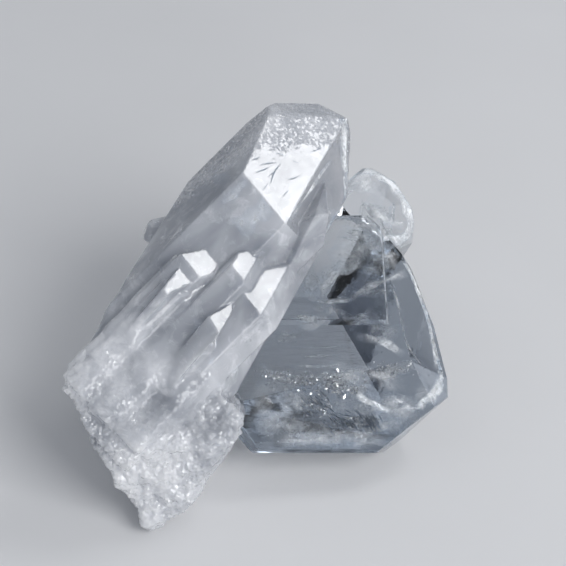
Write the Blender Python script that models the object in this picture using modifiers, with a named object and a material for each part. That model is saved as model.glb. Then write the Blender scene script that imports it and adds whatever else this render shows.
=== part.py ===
"""Faden quartz cluster: a milky crystal group leaning on a clear tabular crystal, intergrown in one solid.

Every crystal is cut from a block by its flat faces. A face is (azimuth, inclination, distance): the azimuth
turns about the crystal's own long axis from its front prism face, the inclination runs from that axis to the
face's outward direction, and the distance is from the crystal's own origin. Distances are in millimetres and
the finished piece is scaled to metres.
"""

import math

import bmesh
import bpy
from mathutils import Matrix, Vector, noise

MM = 0.001
BLOCK = 160.0
CUT_TOLERANCE = 1e-5

# Directions of the quartz faces, in degrees
PRISM = 90.0
RHOMB = 50.8
MINOR_RHOMB = 51.8

# Milky crystal: its long axis rises to the right and the back
MILKY_ORIGIN = Vector((0.2, 1.0, 25.7))
MILKY_HEADING = 32.7
MILKY_RISE = 32.8
MILKY_ROLL = -28.1

# Clear crystal and its neighbours: measured from level, azimuth from +X
CLEAR_ORIGIN = Vector((6.7, 5.2, 6.6))
KNOB_ORIGIN = Vector((10.7, 20.0, 13.3))
BUD_ORIGIN = Vector((-13.0, 7.5, 19.4))
LEVEL = Matrix.Identity(3)

# Centre of the footprint, moved to the frame's origin at the end
FOOT_CENTRE = Vector((-2.391, 4.738, 0.0))

# Broken root: grain size and relief of its hackly surface, and waves per millimetre of the two noises
ROOT_CELL = 0.75
COARSE_RELIEF = 0.6
FINE_RELIEF = 0.38
COARSE_WAVES = 0.45
FINE_WAVES = 1.3
ROOT_SHIFT = Vector((21.7, 11.9, 6.3))

TIP_CRYSTAL = (
    (0, PRISM, 0.0),
    (-52, PRISM, 5.3),
    (-112, PRISM, 14.0),
    (180, PRISM, 11.5),
    (120, PRISM, 5.5),
    (60, PRISM, 0.0),
    (4.5, RHOMB, 0.0),
    (60, MINOR_RHOMB, 0.05),
    (-29, 40, 5.9),
    (-85, 51, 13.9),
    (120, MINOR_RHOMB, 8.6),
    (102, 4, 13.2),
    (102, 27, 10.3),
    (-84, 108, 12.0),
    (-81, 81, 11.6),
    (180, MINOR_RHOMB, 16.1),
    (0, 180, 24.0),
)

# Narrow crystal standing against the tip crystal's right side
SIDE_CRYSTAL = (
    (60, PRISM, 0.8),
    (120, PRISM, 5.1),
    (180, PRISM, 9.0),
    (-60, PRISM, -1.6),
    (-31, 117, -2.4),
    (-16, 42, 1.2),
    (110, 50, 4.4),
    (0, 180, 12.0),
)

# Parallel crystals on the front, each ending in its own small rhombohedral face
LEFT_STEP = (
    (0, PRISM, 1.8),
    (-60, PRISM, 5.6),
    (-120, PRISM, 3.4),
    (60, PRISM, -0.7),
    (180, PRISM, 3.0),
    (4.5, RHOMB, -4.8),
    (-60, MINOR_RHOMB, -1.5),
    (60, MINOR_RHOMB, -5.9),
    (0, 180, 26.0),
)
LOWER_LEFT_STEP = (
    (0, PRISM, 2.2),
    (-60, PRISM, 4.6),
    (-120, PRISM, 3.2),
    (60, PRISM, -0.4),
    (180, PRISM, 3.0),
    (4.5, RHOMB, -6.0),
    (-60, MINOR_RHOMB, -4.0),
    (60, MINOR_RHOMB, -7.4),
    (0, 180, 26.0),
)
MIDDLE_STEP = (
    (0, PRISM, 1.8),
    (-60, PRISM, 1.3),
    (60, PRISM, 2.4),
    (180, PRISM, 3.0),
    (4.5, RHOMB, -2.8),
    (-60, MINOR_RHOMB, -2.2),
    (60, MINOR_RHOMB, -2.4),
    (0, 180, 26.0),
)
RIGHT_STEP = (
    (0, PRISM, 1.2),
    (-60, PRISM, -1.4),
    (60, PRISM, 4.9),
    (120, PRISM, 6.4),
    (180, PRISM, 8.0),
    (4.5, RHOMB, -3.8),
    (60, MINOR_RHOMB, -1.0),
    (-42, 46, -4.6),
    (0, 180, 20.0),
)
SPLINTER_STEP = (
    (0, PRISM, 2.0),
    (-60, PRISM, -0.9),
    (60, PRISM, 4.1),
    (180, PRISM, 3.0),
    (4.5, RHOMB, -5.9),
    (60, MINOR_RHOMB, -5.0),
    (20, 150, 16.0),
)
LOWER_BODY = (
    (0, PRISM, 1.6),
    (-60, PRISM, 5.3),
    (-120, PRISM, 3.9),
    (180, PRISM, 10.0),
    (120, PRISM, 6.5),
    (60, PRISM, 2.9),
    (10, 72, -2.5),
    (180, 30, -9.0),
    (0, 180, 25.0),
)
LOWER_RIGHT_BODY = (
    (0, PRISM, 0.9),
    (60, PRISM, 5.4),
    (120, PRISM, 8.6),
    (180, PRISM, 9.0),
    (-120, PRISM, 2.0),
    (-60, PRISM, 1.0),
    (60, MINOR_RHOMB, -5.4),
    (4.5, RHOMB, -7.0),
    (0, 180, 26.0),
)

# Clear crystal: broad upper face, front face, undercut rim, side faces, flat seat
CLEAR_PLATE = (
    (-90, 17, 4.3),
    (-81, 37, 6.3),
    (-92, 121, 13.8),
    (-25, 28, 6.3),
    (8, 60, 9.2),
    (22, 125, 5.5),
    (-74, 46, 8.8),
    (-46, 117, 12.0),
    (-21, 105, 12.6),
    (-52, 35, 7.2),
    (34, 71, 10.8),
    (90, 57, 14.1),
    (90, 120, 12.0),
    (-90, 135, 11.9),
    (180, 100, 14.5),
    (160, 62, 15.0),
    (-150, 120, 14.8),
    (125, 75, 16.4),
    (50, 118, 12.6),
    (140, 128, 13.6),
    (0, 180, 6.6),
)
# Thin growth sheets standing on the clear crystal's upper face
UPPER_SHEET = (
    (-90, 17, 4.65),
    (-90, 53, 3.9),
    (-7, 65, 5.8),
    (180, 90, 8.5),
    (90, 57, 13.7),
    (90, 163, -3.4),
)
KNOB = (
    (80, 40, 4.2),
    (44, 44, 3.4),
    (18, 62, 3.1),
    (8, 81, 3.6),
    (1, 98, 4.1),
    (-55, 122, 5.3),
    (-90, 50, 3.2),
    (-23, 33, 3.0),
    (-41, 68, 3.3),
    (-90, 5, 3.5),
    (171, 97, 4.7),
    (130, 70, 4.6),
    (150, 45, 4.3),
    (60, 95, 5.0),
    (-90, 151, 6.4),
    (90, 130, 4.5),
    (160, 140, 5.2),
)
BUD = (
    (0, 0, 1.3),
    (-90, 40, 1.4),
    (180, 70, 1.3),
    (150, 60, 1.4),
    (-150, 60, 1.3),
    (-140, 120, 1.4),
    (110, 75, 1.2),
    (150, 125, 1.3),
    (20, 100, 3.0),
    (0, 180, 1.8),
)

# Broken root, about its own centres
ROOT_END_ORIGIN = Vector((-17.5, -6.4, 8.2))
ROOT_TIP_ORIGIN = Vector((-10.8, -12.0, 4.7))
ROOT_END = (
    (-90, 50, 6.6),
    (148, 65, 3.9),
    (-164, 121, 1.3),
    (-158, 126, 1.4),
    (90, 130, 5.0),
    (-39, 127, 6.0),
    (33, 57, 2.5),
)
ROOT_TIP = (
    (-84, 71, 2.6),
    (-90, 50, 3.8),
    (-165, 116, 5.0),
    (-171, 114, 5.7),
    (-158, 126, 5.5),
    (-33, 134, 3.5),
    (-19, 120, 3.0),
    (1, 93, 6.4),
    (90, 130, 8.0),
    (33, 57, 9.0),
    (148, 65, 8.0),
    (0, 180, 4.7),
)


def outward(azimuth, inclination):
    """Unit direction of a face in the crystal's own frame."""
    turn = math.radians(azimuth)
    tilt = math.radians(inclination)
    return Vector((math.sin(tilt) * math.cos(turn), math.sin(tilt) * math.sin(turn), math.cos(tilt)))


def axis_frame(heading, rise, roll):
    """Frame whose third axis is the crystal's long axis and whose first faces its front prism face."""
    turn = Matrix.Rotation(math.radians(heading), 3, "Z")
    lift = Matrix.Rotation(math.radians(90.0 - rise), 3, "Y")
    spin = Matrix.Rotation(math.radians(180.0 - roll), 3, "Z")
    return turn @ lift @ spin


def cut_crystal(name, origin, frame, faces):
    """Cuts a block down to the given faces."""
    bm = bmesh.new()
    bmesh.ops.create_cube(bm, size=BLOCK)
    bmesh.ops.translate(bm, verts=bm.verts, vec=origin)
    for azimuth, inclination, distance in faces:
        normal = frame @ outward(azimuth, inclination)
        geometry = bm.verts[:] + bm.edges[:] + bm.faces[:]
        cut = bmesh.ops.bisect_plane(
            bm,
            geom=geometry,
            dist=CUT_TOLERANCE,
            plane_co=origin + normal * distance,
            plane_no=normal,
            clear_outer=True,
        )
        rim = [item for item in cut["geom_cut"] if isinstance(item, bmesh.types.BMEdge)]
        if rim:
            bmesh.ops.contextual_create(bm, geom=rim)
    bmesh.ops.recalc_face_normals(bm, faces=bm.faces)
    mesh = bpy.data.meshes.new(name)
    bm.to_mesh(mesh)
    bm.free()
    piece = bpy.data.objects.new(name, mesh)
    bpy.context.scene.collection.objects.link(piece)
    return piece


def roughen(piece):
    """Turns a cut block into a broken lump with a hackly grain."""
    remesh = piece.modifiers.new("grain", "REMESH")
    remesh.mode = "VOXEL"
    remesh.voxel_size = ROOT_CELL
    apply_modifier(piece, remesh)
    for vertex in piece.data.vertices:
        coarse = noise.noise((vertex.co + ROOT_SHIFT) * COARSE_WAVES)
        fine = noise.noise((vertex.co - ROOT_SHIFT) * FINE_WAVES)
        vertex.co += vertex.normal * (COARSE_RELIEF * coarse + FINE_RELIEF * fine)


def apply_modifier(piece, modifier):
    bpy.context.view_layer.objects.active = piece
    bpy.ops.object.modifier_apply(modifier=modifier.name)


def combine(piece, other, operation):
    """Boolean of two closed pieces; the second one is used up."""
    modifier = piece.modifiers.new(operation.lower(), "BOOLEAN")
    modifier.operation = operation
    modifier.solver = "EXACT"
    modifier.object = other
    apply_modifier(piece, modifier)
    bpy.data.objects.remove(other)


def build():
    for item in list(bpy.data.objects):
        bpy.data.objects.remove(item)

    milky = axis_frame(MILKY_HEADING, MILKY_RISE, MILKY_ROLL)
    cluster = cut_crystal("quartz_cluster", MILKY_ORIGIN, milky, TIP_CRYSTAL)
    grown = (
        ("left_step", LEFT_STEP),
        ("lower_left_step", LOWER_LEFT_STEP),
        ("middle_step", MIDDLE_STEP),
        ("right_step", RIGHT_STEP),
        ("splinter_step", SPLINTER_STEP),
        ("lower_body", LOWER_BODY),
        ("lower_right_body", LOWER_RIGHT_BODY),
    )
    for name, faces in grown:
        combine(cluster, cut_crystal(name, MILKY_ORIGIN, milky, faces), "UNION")
    combine(cluster, cut_crystal("side_crystal", MILKY_ORIGIN, milky, SIDE_CRYSTAL), "UNION")
    combine(cluster, cut_crystal("bud", BUD_ORIGIN, LEVEL, BUD), "UNION")

    root_end = cut_crystal("root_end", ROOT_END_ORIGIN, LEVEL, ROOT_END)
    root_tip = cut_crystal("root_tip", ROOT_TIP_ORIGIN, LEVEL, ROOT_TIP)
    combine(root_tip, root_end, "UNION")
    roughen(root_tip)
    combine(cluster, root_tip, "UNION")

    plate = cut_crystal("clear_plate", CLEAR_ORIGIN, LEVEL, CLEAR_PLATE)
    combine(plate, cut_crystal("knob", KNOB_ORIGIN, LEVEL, KNOB), "UNION")
    combine(plate, cut_crystal("upper_sheet", CLEAR_ORIGIN, LEVEL, UPPER_SHEET), "UNION")
    combine(cluster, plate, "UNION")

    ground = cut_crystal("ground", Vector((0, 0, -BLOCK / 2)), LEVEL, ())
    combine(cluster, ground, "DIFFERENCE")

    cluster.data.transform(Matrix.Scale(MM, 4) @ Matrix.Translation(-FOOT_CENTRE))
    dress(cluster)
    collect(cluster)


def dress(cluster):
    material = bpy.data.materials.new("quartz")
    material.use_nodes = True
    shader = material.node_tree.nodes["Principled BSDF"]
    shader.inputs["Base Color"].default_value = (0.82, 0.85, 0.88, 1)
    shader.inputs["Roughness"].default_value = 0.15
    shader.inputs["IOR"].default_value = 1.544
    cluster.data.materials.clear()
    cluster.data.materials.append(material)


def collect(cluster):
    group = bpy.data.collections.new("faden_quartz_cluster")
    bpy.context.scene.collection.children.link(group)
    bpy.context.scene.collection.objects.unlink(cluster)
    group.objects.link(cluster)


build()
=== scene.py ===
"""Faden quartz cluster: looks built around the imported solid.

Milky crystals, a clear tabular crystal and what has healed inside it, on a pale studio floor. Crystals are
cut from blocks by their flat faces. A face is (azimuth, inclination, distance): the azimuth turns about the
crystal's long axis from its front prism face, the inclination runs from that axis to the face's outward
direction, and the distance in millimetres is from the crystal's own origin.
"""

import math
import random

import bpy
from mathutils import Matrix, Vector, noise


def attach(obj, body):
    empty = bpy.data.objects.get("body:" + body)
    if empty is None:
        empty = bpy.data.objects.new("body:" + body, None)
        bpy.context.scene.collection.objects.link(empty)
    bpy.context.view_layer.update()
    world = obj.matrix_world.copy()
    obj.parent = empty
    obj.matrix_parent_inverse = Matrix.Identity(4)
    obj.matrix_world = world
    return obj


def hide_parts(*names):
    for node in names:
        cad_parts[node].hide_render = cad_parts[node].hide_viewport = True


bl_info = {
    "name": "Faden quartz cluster",
    "version": (1, 0, 0),
    "blender": (4, 5, 0),
    "location": "3D View > Sidebar > Quartz",
    "description": "Builds a faden quartz cluster and its studio around a packed solid",
    "category": "Add Mesh",
}

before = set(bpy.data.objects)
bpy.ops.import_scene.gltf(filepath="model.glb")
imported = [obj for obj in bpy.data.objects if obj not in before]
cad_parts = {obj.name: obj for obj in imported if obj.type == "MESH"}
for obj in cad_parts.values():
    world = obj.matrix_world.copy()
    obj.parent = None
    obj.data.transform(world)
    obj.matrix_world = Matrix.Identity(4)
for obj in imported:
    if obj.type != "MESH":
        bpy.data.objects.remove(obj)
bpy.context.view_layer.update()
NODE = "quartz_cluster"

# Modelling is in millimetres, and a finished piece is moved to the middle of its footprint in metres
MM = 0.001
FOOT_CENTRE = Vector((-2.391, 4.738, 0.0))
# Side of the block that each crystal is cut from, in mm
BLOCK = 160.0
# Refraction of quartz
QUARTZ_IOR = 1.544

# Inclinations of the prism's and rhombohedron's faces in degrees, and the azimuth of the large end faces
PRISM = 90.0
MAJOR = 50.8
MINOR = 51.8
END_TURN = 4.5

# Origins in mm, and how the milky crystals' long axis lies in degrees
MILKY_ORIGIN = Vector((0.2, 1.0, 25.7))
MILKY_HEADING = 32.7
MILKY_RISE = 32.8
MILKY_ROLL = -28.1
CLEAR_ORIGIN = Vector((6.7, 5.2, 6.6))
KNOB_ORIGIN = Vector((10.7, 20.0, 13.3))
BUD_ORIGIN = Vector((-13.0, 7.5, 19.4))
LEVEL = Matrix.Identity(3)

# Large tip crystal
TIP_CRYSTAL = (
    (0, PRISM, 0.0), (-52, PRISM, 5.3), (-112, PRISM, 14.0), (180, PRISM, 11.5), (120, PRISM, 5.5),
    (60, PRISM, 0.0), (END_TURN, MAJOR, 0.0), (60, MINOR, 0.05), (-29, 40, 5.9),
    (-85, 51, 13.9), (120, MINOR, 8.6), (102, 4, 13.2), (102, 27, 10.3), (-84, 108, 12.0),
    (-81, 81, 11.6), (180, MINOR, 16.1), (0, 180, 24.0),
)

# Parallel crystals of the milky group: steps down the front, each with its own small end face, the bodies
# under them, and the narrow crystal against the tip's right side
MILKY_CRYSTALS = {
    "left_step": (
        (0, PRISM, 1.8), (-60, PRISM, 5.6), (-120, PRISM, 3.4), (60, PRISM, -0.7), (180, PRISM, 3.0),
        (END_TURN, MAJOR, -4.8), (-60, MINOR, -1.5), (60, MINOR, -5.9), (0, 180, 26.0),
    ),
    "lower_left_step": (
        (0, PRISM, 2.2), (-60, PRISM, 4.6), (-120, PRISM, 3.2), (60, PRISM, -0.4), (180, PRISM, 3.0),
        (END_TURN, MAJOR, -6.0), (-60, MINOR, -4.0), (60, MINOR, -7.4), (0, 180, 26.0),
    ),
    "middle_step": (
        (0, PRISM, 1.8), (-60, PRISM, 1.3), (60, PRISM, 2.4), (180, PRISM, 3.0),
        (END_TURN, MAJOR, -2.8), (-60, MINOR, -2.2), (60, MINOR, -2.4), (0, 180, 26.0),
    ),
    "right_step": (
        (0, PRISM, 1.2), (-60, PRISM, -1.4), (60, PRISM, 4.9), (120, PRISM, 6.4), (180, PRISM, 8.0),
        (END_TURN, MAJOR, -3.8), (60, MINOR, -1.0), (-42, 46, -4.6), (0, 180, 20.0),
    ),
    "splinter_step": (
        (0, PRISM, 2.0), (-60, PRISM, -0.9), (60, PRISM, 4.1), (180, PRISM, 3.0),
        (END_TURN, MAJOR, -5.9), (60, MINOR, -5.0), (20, 150, 16.0),
    ),
    "lower_body": (
        (0, PRISM, 1.6), (-60, PRISM, 5.3), (-120, PRISM, 3.9), (180, PRISM, 10.0), (120, PRISM, 6.5),
        (60, PRISM, 2.9), (10, 72, -2.5), (180, 30, -9.0), (0, 180, 25.0),
    ),
    "lower_right_body": (
        (0, PRISM, 0.9), (60, PRISM, 5.4), (120, PRISM, 8.6), (180, PRISM, 9.0), (-120, PRISM, 2.0),
        (-60, PRISM, 1.0), (60, MINOR, -5.4), (END_TURN, MAJOR, -7.0), (0, 180, 26.0),
    ),
    "side_crystal": (
        (60, PRISM, 0.8), (120, PRISM, 5.1), (180, PRISM, 9.0), (-60, PRISM, -1.6), (-31, 117, -2.4),
        (-16, 42, 1.2), (110, 50, 4.4), (0, 180, 12.0),
    ),
}
# How many times the usual edge wear some of them have
EXTRA_WEAR = {"lower_body": 4.0, "lower_right_body": 4.0, "side_crystal": 3.0}

# Clear crystal: broad upper face, front face, undercut rim, side faces, flat seat
CLEAR_PLATE = (
    (-90, 17, 4.3), (-81, 37, 6.3), (-92, 121, 13.8), (-25, 28, 6.3), (8, 60, 9.2), (22, 125, 5.5),
    (-74, 46, 8.8), (-46, 117, 12.0), (-21, 105, 12.6), (-52, 35, 7.2), (34, 71, 10.8),
    (90, 57, 14.1), (90, 120, 12.0), (-90, 135, 11.9), (180, 100, 14.5), (160, 62, 15.0),
    (-150, 120, 14.8), (125, 75, 16.4), (50, 118, 12.6), (140, 128, 13.6), (0, 180, 6.6),
)
# Thin growth sheet standing on the clear crystal's upper face
UPPER_SHEET = (
    (-90, 17, 4.65), (-90, 53, 3.9), (-7, 65, 5.8), (180, 90, 8.5), (90, 57, 13.7), (90, 163, -3.4),
)
# Knob at its back right corner, and the bud on the milky group's far left
KNOB = (
    (80, 40, 4.2), (44, 44, 3.4), (18, 62, 3.1), (8, 81, 3.6), (1, 98, 4.1), (-55, 122, 5.3),
    (-90, 50, 3.2), (-23, 33, 3.0), (-41, 68, 3.3), (-90, 5, 3.5), (171, 97, 4.7), (130, 70, 4.6),
    (150, 45, 4.3), (60, 95, 5.0), (-90, 151, 6.4), (90, 130, 4.5), (160, 140, 5.2),
)
BUD = (
    (0, 0, 1.3), (-90, 40, 1.4), (180, 70, 1.3), (150, 60, 1.4), (-150, 60, 1.3), (-140, 120, 1.4),
    (110, 75, 1.2), (150, 125, 1.3), (20, 100, 3.0), (0, 180, 1.8),
)

# Broken root, about its own centres
ROOT_END_ORIGIN = Vector((-17.5, -6.4, 8.2))
ROOT_TIP_ORIGIN = Vector((-10.8, -12.0, 4.7))
ROOT_END = (
    (-90, 50, 6.6), (148, 65, 3.9), (-164, 121, 1.3), (-158, 126, 1.4), (90, 130, 5.0),
    (-39, 127, 6.0), (33, 57, 2.5),
)
ROOT_TIP = (
    (-84, 71, 2.6), (-90, 50, 3.8), (-165, 116, 5.0), (-171, 114, 5.7), (-158, 126, 5.5),
    (-33, 134, 3.5), (-19, 120, 3.0), (1, 93, 6.4), (90, 130, 8.0), (33, 57, 9.0), (148, 65, 8.0),
    (0, 180, 4.7),
)


# Camera: distance and focal length in pixels of the 566 px frame, looking down at the cluster
FRAME_PX = 566
FOCAL_PX = 1550.0
SENSOR_MM = 36.0
CAMERA_RISE = 40.0
CAMERA_DISTANCE = 155.0
CAMERA_TARGET = Vector((0.0, 0.0, 19.0))
RISE = math.radians(CAMERA_RISE)
TO_CAMERA = Vector((0.0, -math.cos(RISE), math.sin(RISE)))
UPWARDS = Vector((0.0, math.sin(RISE), math.cos(RISE)))
RIGHTWARDS = Vector((1.0, 0.0, 0.0))


def outward(azimuth, inclination):
    """Unit direction of a face in the crystal's own frame."""
    turn = math.radians(azimuth)
    tilt = math.radians(inclination)
    return Vector((math.sin(tilt) * math.cos(turn), math.sin(tilt) * math.sin(turn), math.cos(tilt)))


# Its third axis is the milky crystals' long axis and its first faces their front prism face
MILKY_FRAME = (
    Matrix.Rotation(math.radians(MILKY_HEADING), 3, "Z")
    @ Matrix.Rotation(math.radians(90.0 - MILKY_RISE), 3, "Y")
    @ Matrix.Rotation(math.radians(180.0 - MILKY_ROLL), 3, "Z")
)


def place_of(px, py, depth):
    """Point that a pixel of the photograph shows at a depth towards the camera."""
    per_px = (CAMERA_DISTANCE - depth) / FOCAL_PX
    middle = FRAME_PX / 2
    sideways = RIGHTWARDS * (px - middle) * per_px
    upwards = UPWARDS * (middle - py) * per_px
    return CAMERA_TARGET + sideways + upwards + TO_CAMERA * depth


def pixel_of(point):
    """Pixel that shows a point."""
    offset = point - CAMERA_TARGET
    scale = FOCAL_PX / (CAMERA_DISTANCE - offset.dot(TO_CAMERA))
    return Vector((FRAME_PX / 2 + offset.x * scale, FRAME_PX / 2 - offset.dot(UPWARDS) * scale))


def view_ray(px, py):
    """Camera position and unit direction through a pixel."""
    eye = place_of(FRAME_PX / 2, FRAME_PX / 2, CAMERA_DISTANCE)
    return eye, (place_of(px, py, 0.0) - eye).normalized()


def on_face(px, py, normal, point):
    """Point of a plane that a pixel shows."""
    eye, ray = view_ray(px, py)
    return eye + ray * ((point - eye).dot(normal) / ray.dot(normal))


def select_only(piece):
    bpy.ops.object.select_all(action="DESELECT")
    piece.select_set(True)
    bpy.context.view_layer.objects.active = piece


def mode(name):
    bpy.ops.object.mode_set(mode=name)


def apply_modifier(piece, kind, **values):
    """Changes a piece by one modifier with the given settings."""
    modifier = piece.modifiers.new(kind.lower(), kind)
    for key, value in values.items():
        setattr(modifier, key, value)
    select_only(piece)
    bpy.ops.object.modifier_apply(modifier=modifier.name)


def new_object(name, data):
    item = bpy.data.objects.new(name, data)
    bpy.context.scene.collection.objects.link(item)
    return item


# How near two cut corners may lie before they are one, in mm
CUT_PRECISION = 1e-5


def planes_of(faces, origin, axes):
    """Start point and outward direction of each face."""
    ways = [(axes @ outward(azimuth, inclination), distance) for azimuth, inclination, distance in faces]
    return [(origin + way * distance, way) for way, distance in ways]


def cut_crystal(name, origin, axes, faces, wear=0.0, rounds=2):
    return cut_block(name, origin, planes_of(faces, origin, axes), wear, rounds)


def cut_block(name, origin, planes, wear=0.0, rounds=2):
    """Cuts a block down to the given planes and takes a little off its edges."""
    bpy.ops.object.select_all(action="DESELECT")
    bpy.ops.mesh.primitive_cube_add(size=BLOCK, location=origin)
    piece = bpy.context.active_object
    piece.name = name
    bpy.ops.object.transform_apply()
    mode("EDIT")
    for start, normal in planes:
        bpy.ops.mesh.select_all(action="SELECT")
        bpy.ops.mesh.bisect(
            plane_co=start, plane_no=normal, use_fill=True, clear_outer=True, threshold=CUT_PRECISION
        )
    bpy.ops.mesh.select_all(action="SELECT")
    if wear:
        bpy.ops.mesh.bevel(offset=wear, segments=rounds, affect="EDGES", clamp_overlap=True)
    bpy.ops.mesh.normals_make_consistent(inside=False)
    mode("OBJECT")
    return piece


def combine(piece, other, operation):
    apply_modifier(piece, "BOOLEAN", operation=operation, solver="EXACT", object=other)
    bpy.data.objects.remove(other)


def wear_material(piece, material):
    piece.data.materials.clear()
    piece.data.materials.append(material)


def settle(piece, material):
    """Gives a finished piece its material and brings it from millimetres to its place in the row frame."""
    wear_material(piece, material)
    select_only(piece)
    piece.scale = (MM, MM, MM)
    piece.location = -FOOT_CENTRE * MM
    bpy.ops.object.transform_apply()
    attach(piece, "root")
    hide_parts(NODE)


def amount(name, description, default, **more):
    return bpy.props.FloatProperty(name=name, description=description, default=default, min=0.0, **more)


def length(name, description, default):
    """Size that a user can change, kept in metres."""
    return amount(name, description, default * MM, unit="LENGTH", precision=5)


def power(name, description, default):
    return amount(name, description, default, unit="POWER")


def colour(name, description, default):
    return bpy.props.FloatVectorProperty(
        name=name, description=description, default=default, size=3, min=0.0, max=1.0, subtype="COLOR"
    )


class QuartzCrystalSettings(bpy.types.PropertyGroup):
    """Sizes and colours of the crystals."""

    edge_wear: length("Edge wear", "Width worn off the edges of the milky crystals", 0.06)
    tip_wear: length("Tip wear", "Width worn off the edges at the top of the tip crystal", 0.45)
    plate_wear: length("Plate wear", "Width worn off the edges of the clear crystal", 0.08)
    knob_wear: length("Knob wear", "Width rounded off the edges of the knob", 0.9)
    grain: length("Grain", "Size of the finest grain of the milky crystals", 0.13)
    relief: length("Break relief", "Height of the lumps on the broken root", 0.6)
    haze: colour("Haze", "Colour of the milky quartz where it is thin", (0.47, 0.50, 0.56))
    cloud: colour("Cloud", "Colour of the milky quartz where it is dense", (0.82, 0.83, 0.86))
    # The clear quartz's absorption is partly its own faint tint and partly painted shade: it is set strong so
    # that it darkens what is seen through the crystal
    tint_and_shade: colour("Tint", "Colour that the clear quartz lets through", (0.76, 0.81, 0.87))
    tint_and_shade_density: amount("Tint density", "Absorption of the clear quartz per metre", 60.0)


class QuartzHealingSettings(bpy.types.PropertyGroup):
    """Sizes and colours of what has healed inside the clear crystal."""

    veil: colour("Veil", "Colour of the healed veils", (0.92, 0.96, 1.0))
    glow: colour("Glow", "Warm colour of the densest veils", (0.97, 0.975, 0.98))
    shine: colour("Shine", "Colour of bright flecks and cracks", (0.97, 0.98, 0.99))
    shade: colour("Shade", "Colour of the dark cracks", (0.10, 0.12, 0.15))
    ripple: length("Veil ripple", "Height of the ripples of a veil", 0.35)


class QuartzStudioSettings(bpy.types.PropertyGroup):
    """Floor and light."""

    floor_size: amount("Floor size", "Side of the square floor", 3.0, unit="LENGTH")
    floor: colour("Floor", "Colour of the floor", (0.80, 0.80, 0.81))
    sky: colour("Sky", "Colour of the light from all round", (0.82, 0.87, 0.95))
    sky_strength: amount("Sky strength", "Strength of the light from all round", 0.34)
    key: power("Key light", "Power of the small light that the end faces mirror", 0.32)
    fill: power("Fill light", "Power of the broad light from the front right", 2.0)
    front: power("Front light", "Power of the low light on the broken root", 0.5)


class Nodes:
    """Short hand for building a procedural material round its Principled shader."""

    def __init__(self, name):
        self.material = bpy.data.materials.new(name)
        self.material.use_nodes = True
        self.tree = self.material.node_tree
        self.coords = self.add("ShaderNodeTexCoord").outputs["Object"]

    def feed(self, node, inputs):
        """Gives each input of a node a value, or a link from another node's output."""
        for key, value in inputs.items():
            if isinstance(value, bpy.types.NodeSocket):
                self.tree.links.new(value, node.inputs[key])
            else:
                node.inputs[key].default_value = value

    def add(self, kind, inputs=None, **settings):
        node = self.tree.nodes.new(kind)
        for key, value in settings.items():
            setattr(node, key, value)
        self.feed(node, inputs or {})
        return node

    def finished(self, inputs):
        """The material, once its shader has its inputs."""
        self.feed(self.tree.nodes["Principled BSDF"], inputs)
        return self.material

    def mapped(self, vector, **inputs):
        """Coordinates turned by a Rotation or stretched by a Scale."""
        node = self.add("ShaderNodeMapping", {"Vector": vector, **inputs}, vector_type="POINT")
        return node.outputs["Vector"]

    def noise(self, scale, detail=3.0, rough=0.6, distortion=0.0, vector=None):
        inputs = {"Vector": vector or self.coords, "Scale": scale, "Detail": detail, "Roughness": rough}
        return self.add("ShaderNodeTexNoise", {**inputs, "Distortion": distortion}).outputs["Fac"]

    def ramp(self, value, low, high, out_low=0.0, out_high=1.0):
        inputs = {"Value": value, "From Min": low, "From Max": high, "To Min": out_low, "To Max": out_high}
        return self.add("ShaderNodeMapRange", inputs).outputs["Result"]

    def blend(self, factor, first, second):
        inputs = {0: factor, 6: (*first, 1), 7: (*second, 1)}
        return self.add("ShaderNodeMix", inputs, data_type="RGBA").outputs[2]

    def math(self, operation, first, second):
        return self.add("ShaderNodeMath", {0: first, 1: second}, operation=operation).outputs[0]

    def vector(self, operation, first, second):
        return self.add("ShaderNodeVectorMath", {0: first, 1: second}, operation=operation).outputs

    def past(self, direction, distance, ragged, width, scale=350.0):
        """1 beyond a distance in millimetres along a direction of the modelling frame, 0 before it."""
        way = Vector(direction).normalized()
        along = self.vector("DOT_PRODUCT", self.coords, way / MM)["Value"]
        edge = self.ramp(self.noise(scale), 0.3, 0.7, -ragged, ragged)
        start = distance - FOOT_CENTRE.dot(way)
        return self.ramp(self.math("ADD", along, edge), start - width / 2, start + width / 2)

    def crumbs(self, scale, share):
        """Normal turned a little at random in each small cell, so that chips catch the light."""
        cells = self.add("ShaderNodeTexVoronoi", {"Vector": self.coords, "Scale": scale}, feature="F1")
        lean = self.vector("SUBTRACT", cells.outputs["Color"], (0.5, 0.5, 0.5))[0]
        scaled = self.add("ShaderNodeVectorMath", {0: lean, "Scale": share}, operation="SCALE").outputs[0]
        normal = self.add("ShaderNodeNewGeometry").outputs["Normal"]
        return self.vector("NORMALIZE", self.vector("ADD", normal, scaled)[0], (0, 0, 0))[0]

    def facing(self, direction):
        """How far a face points a given way, from its flat normal."""
        normal = self.add("ShaderNodeNewGeometry").outputs["True Normal"]
        return self.vector("DOT_PRODUCT", normal, Vector(direction).normalized())["Value"]

    def bump(self, height, strength, distance, **more):
        inputs = {"Height": height, "Strength": strength, "Distance": distance, **more}
        return self.add("ShaderNodeBump", inputs).outputs[0]


# Frosted crest of the tip's main face: its way, where it starts in mm, and its edge's pattern per metre
CREST_WAY = (-0.387, 0.831, 0.402)
CREST_START = 19.85
CREST_GRAIN = 900.0
# Ways of the end faces that stay smooth and bright, and of the tip's thinner right end face
END_FACE_WAY = MILKY_FRAME @ outward(END_TURN, MAJOR)
RIGHT_END_WAY = MILKY_FRAME @ outward(60, MINOR)
# How far down the long axis the crumbly lower end starts, and how far up it the tip is thin, in mm
CRUMBLY_FROM = 22.0
THIN_FROM = 13.0
# Patterns in the milky quartz, as noise scales per metre
CLOUDS = 170.0
WISPS = 650.0
FLECKED_PATCHES = 230.0
CRUMB_CLUSTERS = 330.0
SPECKS = 1400.0
STRIAE = 1500.0
GRAIN = 1200.0
CRUMBS = 4200.0
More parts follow.
